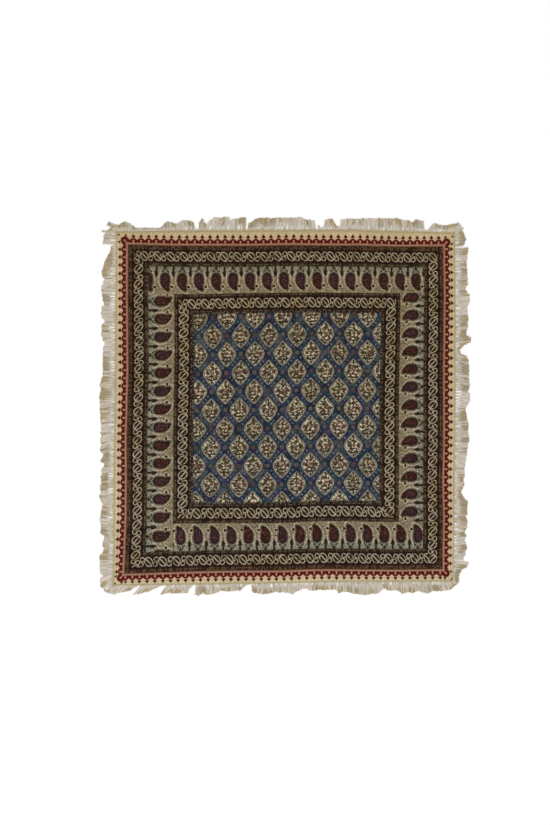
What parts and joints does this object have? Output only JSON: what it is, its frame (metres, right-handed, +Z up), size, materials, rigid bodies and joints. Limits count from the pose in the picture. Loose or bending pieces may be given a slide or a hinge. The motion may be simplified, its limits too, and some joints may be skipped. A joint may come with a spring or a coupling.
{
  "type": "fringed qalamkar tablecloth",
  "caption": "Square block-printed cotton tablecloth lying flat, with paisley and chain borders, a diamond lattice field and a tufted fringe along every side.",
  "frame": {"origin": "middle of the whole piece over the fringe, at the level of the surface it lies on", "axes": "+Z up out of the printed face, +Y towards the top edge of the cloth as shown, +X to its right"},
  "size_m": [1.01, 1.026, 0.0016],
  "materials": {
    "printed_cotton": "matt plain-woven cotton, block printed in maroon, black, indigo and ochre on cream",
    "fringe_yarn": "soft cream cotton yarn with tan tips"
  },
  "bodies": {
    "root": {"cloth": "printed_cotton", "fringe_top": "fringe_yarn", "fringe_right": "fringe_yarn", "fringe_bottom": "fringe_yarn", "fringe_left": "fringe_yarn"}
  },
  "joints": []
}
